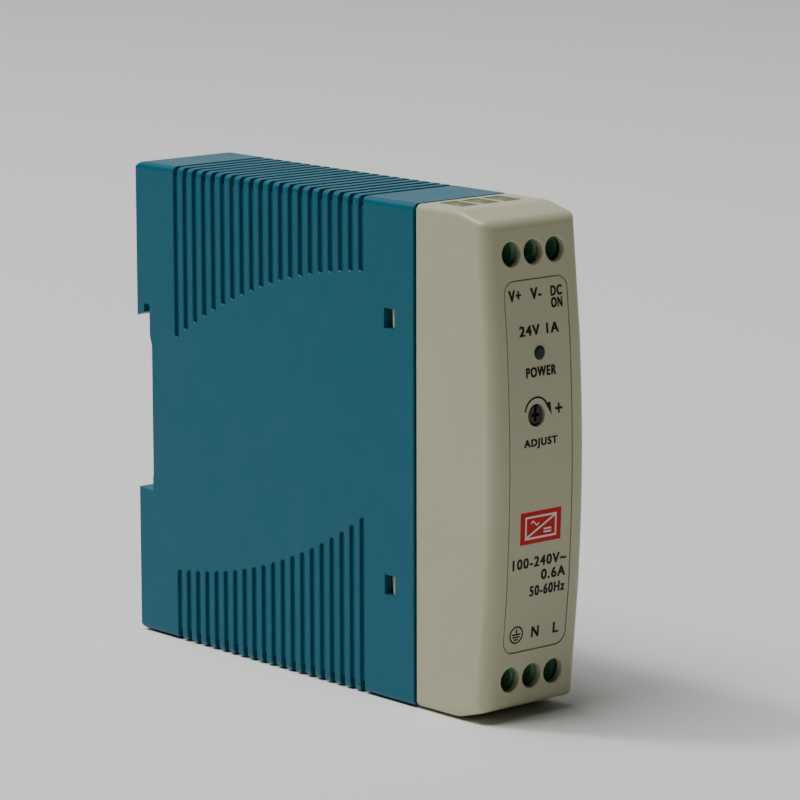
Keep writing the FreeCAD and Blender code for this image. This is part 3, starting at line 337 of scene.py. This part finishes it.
# ---- Printing on the label --------------------------------------------------------------------
# Outlines, sizes and places across (x) and up (z) are in millimetres here.
INK_FILM = 0.02 * MM     # how far the ink stands off the panel, in metres
INK_SINK = 0.03 * MM     # how far it reaches into the panel, in metres
TEXT_LIFT = 0.0015 * MM  # how far each shifted copy of a text stands above the one before, in metres
TEXT_SHIFT = (0.10, 0.06)    # how far the copies are shifted across and up, to thicken the strokes
LETTER_SPACING = 1.18
NO_AREA = 1e-12          # a triangle smaller than this is left out
RAY_START_Y = -0.06      # in front of the whole case, in metres
RAY_LENGTH = 0.02


def surface_of(node):
    """A search tree over a node's mesh."""
    mesh = node.data
    corners = [vertex.co for vertex in mesh.vertices]
    return BVHTree.FromPolygons(corners, [tuple(face.vertices) for face in mesh.polygons])


LABEL = surface_of(NODES["front_label"])


def panel_y(x, z):
    """The front face of the label at a place, in metres."""
    hit = LABEL.ray_cast(Vector((x, RAY_START_Y, z)), Vector((0.0, 1.0, 0.0)), RAY_LENGTH)[0]
    if hit is None:
        hit = LABEL.find_nearest(Vector((x, cad_low.y, z)))[0]
    return hit.y


def ink_piece(name, outlines, material, lifts=None):
    """A printed shape from closed (x, z) outlines in millimetres, laid on the curved label.

    Each entry of outlines is a list of loops: the outer one, and then any holes in it. Each may
    have a lift, in metres, that raises it above the usual film."""
    corners, faces = [], []
    for loops, lift in zip(outlines, lifts or [0.0] * len(outlines)):
        flat = [[Vector((x, z, 0.0)) for x, z in loop] for loop in loops]
        triangles = tessellate_polygon(flat)
        points = [point for loop in flat for point in loop]
        start, count = len(corners), len(points)
        for depth in (-INK_FILM - lift, INK_SINK):
            for point in points:
                x, z = point.x * MM, point.y * MM
                corners.append((x, panel_y(x, z) + depth, z))
        for a, b, c in triangles:
            area = (points[b] - points[a]).cross(points[c] - points[a]).z
            if abs(area) < NO_AREA:
                continue
            front = (a, b, c) if area > 0 else (a, c, b)
            faces.append(tuple(start + i for i in front))
            faces.append(tuple(start + count + i for i in reversed(front)))
        offset = start
        for number, loop in enumerate(flat):
            turn = sum(loop[i - 1].x * loop[i].y - loop[i].x * loop[i - 1].y for i in range(len(loop)))
            forward = (turn > 0) == (number == 0)
            for i in range(len(loop)):
                j = (i + 1) % len(loop)
                side = (offset + i, offset + count + i, offset + count + j, offset + j)
                faces.append(side if forward else tuple(reversed(side)))
            offset += len(loop)
    mesh = bpy.data.meshes.new(name)
    mesh.from_pydata(corners, [], faces)
    mesh.validate()
    mesh.update()
    mesh.materials.append(material)
    piece = bpy.data.objects.new(name, mesh)
    bpy.context.scene.collection.objects.link(piece)
    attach(piece, CASE)


def subdivided(loop, step):
    """A loop with extra points, so that no side is longer than step."""
    result = []
    for i, (x0, z0) in enumerate(loop):
        x1, z1 = loop[(i + 1) % len(loop)]
        parts = max(1, math.ceil(math.hypot(x1 - x0, z1 - z0) / step))
        result += [(x0 + (x1 - x0) * k / parts, z0 + (z1 - z0) * k / parts) for k in range(parts)]
    return result


def stroke(x0, z0, x1, z1, width):
    """A straight bar between two points."""
    length = math.hypot(x1 - x0, z1 - z0)
    across_x, across_z = -(z1 - z0) / length * width / 2, (x1 - x0) / length * width / 2
    return [(x0 + across_x, z0 + across_z), (x0 - across_x, z0 - across_z),
            (x1 - across_x, z1 - across_z), (x1 + across_x, z1 + across_z)]


def arc_band(x, z, radius, width, start, end, steps=28):
    """A curved bar from angle start to angle end, in degrees."""
    turns = [math.radians(start + (end - start) * i / steps) for i in range(steps + 1)]
    far, near = radius + width / 2, radius - width / 2
    outer = [(x + far * math.cos(turn), z + far * math.sin(turn)) for turn in turns]
    inner = [(x + near * math.cos(turn), z + near * math.sin(turn)) for turn in turns]
    return outer + inner[::-1]


def circle(x, z, radius, steps=40):
    turns = [2 * math.pi * i / steps for i in range(steps)]
    return [(x + radius * math.cos(turn), z + radius * math.sin(turn)) for turn in turns]


def rectangle(x, z, half_x, half_z):
    """The corners of a rectangle about its middle, anticlockwise."""
    x0, x1, z0, z1 = x - half_x, x + half_x, z - half_z, z + half_z
    return [(x0, z0), (x1, z0), (x1, z1), (x0, z1)]


def text_loops(text):
    """The closed outlines of a text, grouped as (outer loop, holes)."""
    curve = bpy.data.curves.new("outline_source", "FONT")
    curve.body = text
    curve.size = 1.0
    curve.space_character = LETTER_SPACING
    curve.resolution_u = 5
    curve.fill_mode = "NONE"
    source = bpy.data.objects.new("outline_source", curve)
    bpy.context.scene.collection.objects.link(source)
    bpy.context.view_layer.update()
    mesh = source.to_mesh()
    follow = {}
    for edge in mesh.edges:
        a, b = edge.vertices
        follow.setdefault(a, []).append(b)
        follow.setdefault(b, []).append(a)
    points = [(vertex.co.x, vertex.co.y) for vertex in mesh.vertices]
    source.to_mesh_clear()
    bpy.data.objects.remove(source)
    bpy.data.curves.remove(curve)
    loops, seen = [], set()
    for first in sorted(follow):
        if first in seen:
            continue
        loop, here, before = [], first, None
        while here is not None and here not in seen:
            seen.add(here)
            loop.append(points[here])
            ahead = [n for n in follow[here] if n != before and n not in seen]
            before, here = here, (ahead[0] if ahead else None)
        if len(loop) > 2:
            loops.append(loop)
    return group_loops(loops)


def contains(loop, point):
    """Whether a closed loop goes round a point."""
    x, z = point
    inside = False
    for i in range(len(loop)):
        (x0, z0), (x1, z1) = loop[i - 1], loop[i]
        if (z0 > z) != (z1 > z) and x < (x1 - x0) * (z - z0) / (z1 - z0) + x0:
            inside = not inside
    return inside


def group_loops(loops):
    """Each outer loop with the holes in it. A loop inside an odd number of others is a hole."""
    around = {i: [j for j in range(len(loops)) if j != i and contains(loops[j], loops[i][0])]
              for i in range(len(loops))}
    groups = []
    for i, outside in around.items():
        if len(outside) % 2 == 0:
            holes = [loops[j] for j in around if i in around[j] and len(around[j]) % 2 == 1]
            groups.append([loops[i]] + holes)
    return groups


def print_text(name, text, x, z, width, height):
    """Text fitted to a width and height about its centre.

    Four copies, each shifted a little and lifted a little more, thicken the strokes."""
    shift_x, shift_z = TEXT_SHIFT
    groups = text_loops(text)
    xs = [px for group in groups for loop in group for px, _ in loop]
    zs = [pz for group in groups for loop in group for _, pz in loop]
    scale_x = (width - 2 * shift_x) / (max(xs) - min(xs))
    scale_z = (height - 2 * shift_z) / (max(zs) - min(zs))
    mid_x, mid_z = (max(xs) + min(xs)) / 2, (max(zs) + min(zs)) / 2
    copies = []
    for side_x, side_z in ((-1, -1), (1, -1), (-1, 1), (1, 1)):
        centre_x, centre_z = x + side_x * shift_x, z + side_z * shift_z
        copies.append([[[(centre_x + (px - mid_x) * scale_x, centre_z + (pz - mid_z) * scale_z)
                         for px, pz in loop] for loop in group] for group in groups])
    lifts = [TEXT_LIFT * number for number, copy in enumerate(copies) for _ in copy]
    ink_piece(name, [group for copy in copies for group in copy], INK, lifts)


# Generic markings: pole signs, lamp and adjuster captions and plain electrical ratings.
# Each has a piece name, its text, its centre across and up, its width and its height.
MARKINGS = [
    ("print_output_plus", "V+", -4.98, 75.4, 2.9, 2.05),
    ("print_output_minus", "V-", -0.02, 75.4, 2.6, 2.05),
    ("print_signal_upper", "DC", 4.76, 75.45, 2.7, 1.8),
    ("print_signal_lower", "ON", 4.73, 73.4, 2.7, 1.8),
    ("print_output_rating", "24V 1A", 0.22, 69.15, 9.3, 1.85),
    ("print_lamp", "POWER", 0.3, 61.85, 7.1, 1.8),
    ("print_adjust", "ADJUST", -0.1, 49.35, 7.9, 1.8),
    ("print_input_voltage", "100-240V~", 0.12, 28.3, 12.8, 1.9),
    ("print_input_current", "0.6A", 3.5, 25.75, 5.8, 1.9),
    ("print_input_frequency", "50-60Hz", 2.2, 23.05, 8.4, 1.9),
    ("print_neutral", "N", 0.0, 15.52, 1.8, 2.0),
    ("print_line", "L", 4.95, 15.52, 1.4, 2.0),
]


def print_adjuster_arrow():
    """A curved arrow over the adjuster, and beside it a plus sign of one bar and two short arms."""
    band = arc_band(x=-0.95, z=54.72, radius=2.72, width=0.34, start=172.0, end=28.0)
    head = [(2.3, 56.32), (1.05, 56.2), (2.55, 53.9)]
    x, z, reach, gap, line = 4.24, 54.98, 0.88, 0.22, 0.44
    plus = [stroke(x - reach, z, x + reach, z, line), stroke(x, z - reach, x, z - gap, line),
            stroke(x, z + gap, x, z + reach, line)]
    ink_piece("print_adjuster_arrow", [[band], [head]] + [[bar] for bar in plus], INK)


def print_earth_sign():
    """A ring round a stem and three bars, each shorter than the one above."""
    x, z, radius, line = -4.46, 15.55, 1.6, 0.28
    stem_top, stem_foot, stem_line = 1.06, 0.2, 0.27
    ring = [circle(x, z, radius), circle(x, z, radius - line)[::-1]]
    bars = [stroke(x, z + stem_top, x, z + stem_foot, stem_line)]
    for half, height in ((1.0, 0.06), (0.85, -0.42), (0.5, -0.88)):
        bars.append(stroke(x - half, z + height, x + half, z + height, line))
    ink_piece("print_earth_sign", [ring] + [[bar] for bar in bars], INK)


def print_converter_patch():
    """A red patch with a plain converter sign: a divided rectangle with a wave and two bars."""
    x0, x1, z0, z1 = -4.7, 4.9, 31.65, 37.4
    rows, patch_step = 10, 2.5
    strips = []
    for i in range(rows):
        low = z0 + (z1 - z0) * i / rows
        high = z0 + (z1 - z0) * (i + 1) / rows
        strips.append([subdivided([(x0, low), (x1, low), (x1, high), (x0, high)], patch_step)])
    ink_piece("print_patch", strips, RED)

    x, z = (x0 + x1) / 2, (z0 + z1) / 2
    half_x, half_z, line, step = 3.7, 2.05, 0.34, 0.8
    inner_x, inner_z = half_x - line, half_z - line
    inner = rectangle(x, z, inner_x, inner_z)
    inner = [inner[0], inner[3], inner[2], inner[1]]
    border = [subdivided(rectangle(x, z, half_x, half_z), step), subdivided(inner, step)]
    diagonal = subdivided(stroke(x - inner_x, z - inner_z, x + inner_x, z + inner_z, line), step)
    wave_parts, wave_x, wave_z = 16, x - 2.35, z + 0.75
    wave_length, wave_height, half_line = 1.9, 0.34, 0.15
    wave = [(wave_x + wave_length * i / wave_parts,
             wave_z + wave_height * math.sin(2 * math.pi * i / wave_parts)) for i in range(wave_parts + 1)]
    wave = [(px, pz + half_line) for px, pz in wave] + [(px, pz - half_line) for px, pz in wave[::-1]]
    bar_left, bar_right, bar_line = x + 0.7, x + 2.5, 0.3
    bars = [stroke(bar_left, z - drop, bar_right, z - drop, bar_line) for drop in (0.55, 1.1)]
    shapes = [border, [diagonal], [wave]] + [[bar] for bar in bars]
    ink_piece("print_patch_sign", shapes, WHITE, [INK_FILM] * len(shapes))


for marking in MARKINGS:
    print_text(*marking)
print_adjuster_arrow()
print_earth_sign()
print_converter_patch()


# ---- Small solids that the frame doesn't hold, in metres --------------------------------------
def solid_piece(name, corners, faces, slot):
    """A closed piece of the case from corners in metres, with its faces turned outwards."""
    mesh = bpy.data.meshes.new(name)
    mesh.from_pydata(corners, [], faces)
    mesh.validate()
    turned = bmesh.new()
    turned.from_mesh(mesh)
    bmesh.ops.recalc_face_normals(turned, faces=turned.faces)
    turned.to_mesh(mesh)
    turned.free()
    mesh.materials.append(materials[slot])
    piece = bpy.data.objects.new(name, mesh)
    bpy.context.scene.collection.objects.link(piece)
    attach(piece, CASE)
    return piece


LEAD_IN_RUN = 1.58 * MM      # how far a ramp comes forward from its back
LEAD_IN_HEIGHT = 1.21 * MM
LEAD_IN_INSET = 0.05 * MM    # how far it stays below the cover's outer face
LEAD_IN_SAG = 0.16           # how far its face sinks in the middle, as a share of the height
LEAD_IN_GRIP_X = 0.09 * MM   # how far it reaches past the stated clear space on each side
LEAD_IN_GRIP_Y = 0.13 * MM   # and at the back


def lead_in(name, low, high, outer_z, inner_z):
    """A ramp with a hollow face at the back of a wire opening, whose clear space runs from low to high.

    It stands in the cover's wall, from near its outer face to near its inner one."""
    steps = 10
    back_y = high[1] + LEAD_IN_GRIP_Y
    profile = [(back_y, inner_z)]
    for i in range(steps + 1):
        share = i / steps
        rise = share - LEAD_IN_SAG * math.sin(math.pi * share)
        profile.append((back_y - LEAD_IN_RUN * (1 - share), inner_z + (outer_z - inner_z) * rise))
    count = len(profile)
    sides = (low[0] - LEAD_IN_GRIP_X, high[0] + LEAD_IN_GRIP_X)
    corners = [(x, y, z) for x in sides for y, z in profile]
    faces = [tuple(range(count)), tuple(reversed(range(count, 2 * count)))]
    faces += [((i + 1) % count, i, count + i, count + (i + 1) % count) for i in range(count)]
    solid_piece(name, corners, faces, "cover_plastic")


def make_lead_ins():
    """One lead-in for each wire entry that the record states: output ones on top, input ones below."""
    cover_low, cover_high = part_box("front_cover")
    for opening in frame["record"]["physics"]["openings"]:
        name = opening["name"].replace("wire_entry", "lead_in")
        if name.startswith("lead_in_output"):
            outer_z = cover_high.z - LEAD_IN_INSET
            lead_in(name, *opening["box_m"], outer_z, outer_z - LEAD_IN_HEIGHT)
        elif name.startswith("lead_in_input"):
            outer_z = cover_low.z + LEAD_IN_INSET
            lead_in(name, *opening["box_m"], outer_z, outer_z + LEAD_IN_HEIGHT)


COIL_TURNS = 7.0
COIL_CLOSED_TURNS = 1.0      # at each end
COIL_CLOSED_RISE = 2.1       # of a closed turn, in wire radii, so that turns don't touch
COIL_WIRE = 0.14 * MM        # radius of the wire
COIL_GAP = 0.02 * MM         # left free at each end


def make_latch_coil():
    """The latch's spring as a coil with closed ends."""
    steps, sides = 32, 10
    seat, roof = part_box("latch_spring")
    middle_y = (seat.y + roof.y) / 2
    radius = (roof.x - seat.x) / 2 - COIL_WIRE
    low, high = seat.z + COIL_GAP + COIL_WIRE, roof.z - COIL_GAP - COIL_WIRE
    closed_rise = COIL_CLOSED_RISE * COIL_WIRE
    open_rise = (high - low - 2 * closed_rise) / (COIL_TURNS - 2 * COIL_CLOSED_TURNS)
    count = int(COIL_TURNS * steps)
    corners, faces = [], []
    for i in range(count + 1):
        turn = i / steps
        closed = min(turn, COIL_CLOSED_TURNS) + max(turn - (COIL_TURNS - COIL_CLOSED_TURNS), 0.0)
        z = low + closed_rise * closed + open_rise * (turn - closed)
        angle = 2 * math.pi * turn
        for side in range(sides):
            around = 2 * math.pi * side / sides
            out = radius + COIL_WIRE * math.cos(around)
            corners.append((out * math.cos(angle), middle_y + out * math.sin(angle),
                            z + COIL_WIRE * math.sin(around)))
    for i in range(count):
        for side in range(sides):
            a, b = i * sides + side, i * sides + (side + 1) % sides
            faces.append((a, b, b + sides, a + sides))
    faces += [tuple(range(sides)), tuple(range(count * sides, (count + 1) * sides))]
    coil = solid_piece("latch_coil", corners, faces, "spring_steel")
    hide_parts("latch_spring")
    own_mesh(coil)


make_lead_ins()
make_latch_coil()


# ---- Floor, light and camera, in metres -------------------------------------------------------
FLOOR_Z = -0.0002
FLOOR_RINGS = (0.2, 0.5, 1.0, 2.0, 4.0, 8.0)
FLOOR_COLOUR = rgb(235, 235, 233)
CASE_MIDDLE = (0.0, 0.0, 0.045)
ABOVE_CASE = (0.0, 0.0, 0.1)
LIGHTS = [               # name, place, target, width, height and power in watts
    ("overhead", (-0.6, 0.42, 2.12), CASE_MIDDLE, 1.5, 1.5, 49.0),
    ("glint", (-0.81, 1.2, 2.67), CASE_MIDDLE, 0.35, 0.35, 26.0),
    ("backdrop", (2.0, 2.3, 0.9), ABOVE_CASE, 3.2, 1.6, 13.0),
]
WORLD_STRENGTH = 0.03
CAMERA_AZIMUTH, CAMERA_ELEVATION, CAMERA_ROLL = -41.086, 10.577, -0.124      # degrees
CAMERA_PLACE = (-0.477702, -0.560564, 0.187424)
CAMERA_SENSOR, CAMERA_LENS = 36.0, 185.045                                   # millimetres


def make_floor():
    """A round floor of rings, a hair below the case."""
    steps = 96
    corners = [(0.0, 0.0, FLOOR_Z)]
    for ring in FLOOR_RINGS:
        turns = [2 * math.pi * i / steps for i in range(steps)]
        corners += [(ring * math.cos(turn), ring * math.sin(turn), FLOOR_Z) for turn in turns]
    faces = [(0, 1 + i, 1 + (i + 1) % steps) for i in range(steps)]
    for number in range(len(FLOOR_RINGS) - 1):
        a, b = 1 + number * steps, 1 + (number + 1) * steps
        for i in range(steps):
            j = (i + 1) % steps
            faces.append((a + i, b + i, b + j, a + j))
    mesh = bpy.data.meshes.new("floor")
    mesh.from_pydata(corners, [], faces)
    mesh.materials.append(studio("studio_floor", FLOOR_COLOUR))
    floor = bpy.data.objects.new("floor", mesh)
    bpy.context.scene.collection.objects.link(floor)


def make_light(name, place, target, width, height, power):
    """A rectangular soft light, turned to its target."""
    light = bpy.data.lights.new(name, "AREA")
    light.shape = "RECTANGLE"
    light.size, light.size_y = width, height
    light.energy = power
    lamp = bpy.data.objects.new(name, light)
    bpy.context.scene.collection.objects.link(lamp)
    lamp.location = place
    lamp.rotation_mode = "QUATERNION"
    lamp.rotation_quaternion = (Vector(target) - Vector(place)).to_track_quat("-Z", "Y")


def make_world():
    """A faint even light from all round."""
    world = bpy.data.worlds.new("studio_world")
    world.use_nodes = True
    background = world.node_tree.nodes["Background"]
    background.inputs["Color"].default_value = (1.0, 1.0, 1.0, 1.0)
    background.inputs["Strength"].default_value = WORLD_STRENGTH
    bpy.context.scene.world = world


def make_camera():
    """A long lens in front of the case, to its left and a little above it."""
    azimuth, elevation = math.radians(CAMERA_AZIMUTH), math.radians(CAMERA_ELEVATION)
    roll = math.radians(CAMERA_ROLL)
    back = Vector((math.sin(azimuth) * math.cos(elevation), -math.cos(azimuth) * math.cos(elevation),
                   math.sin(elevation)))
    right = Vector((0.0, 0.0, 1.0)).cross(back).normalized()
    up = back.cross(right)
    turned_right = right * math.cos(roll) + up * math.sin(roll)
    turned_up = up * math.cos(roll) - right * math.sin(roll)
    data = bpy.data.cameras.new("camera")
    data.sensor_width = CAMERA_SENSOR
    data.lens = CAMERA_LENS
    data.clip_start, data.clip_end = 0.01, 50.0
    camera = bpy.data.objects.new("camera", data)
    bpy.context.scene.collection.objects.link(camera)
    turn = Matrix((turned_right, turned_up, back)).transposed()
    camera.matrix_world = Matrix.Translation(CAMERA_PLACE) @ turn.to_4x4()
    bpy.context.scene.camera = camera


make_floor()
for light_facts in LIGHTS:
    make_light(*light_facts)
make_world()
make_camera()
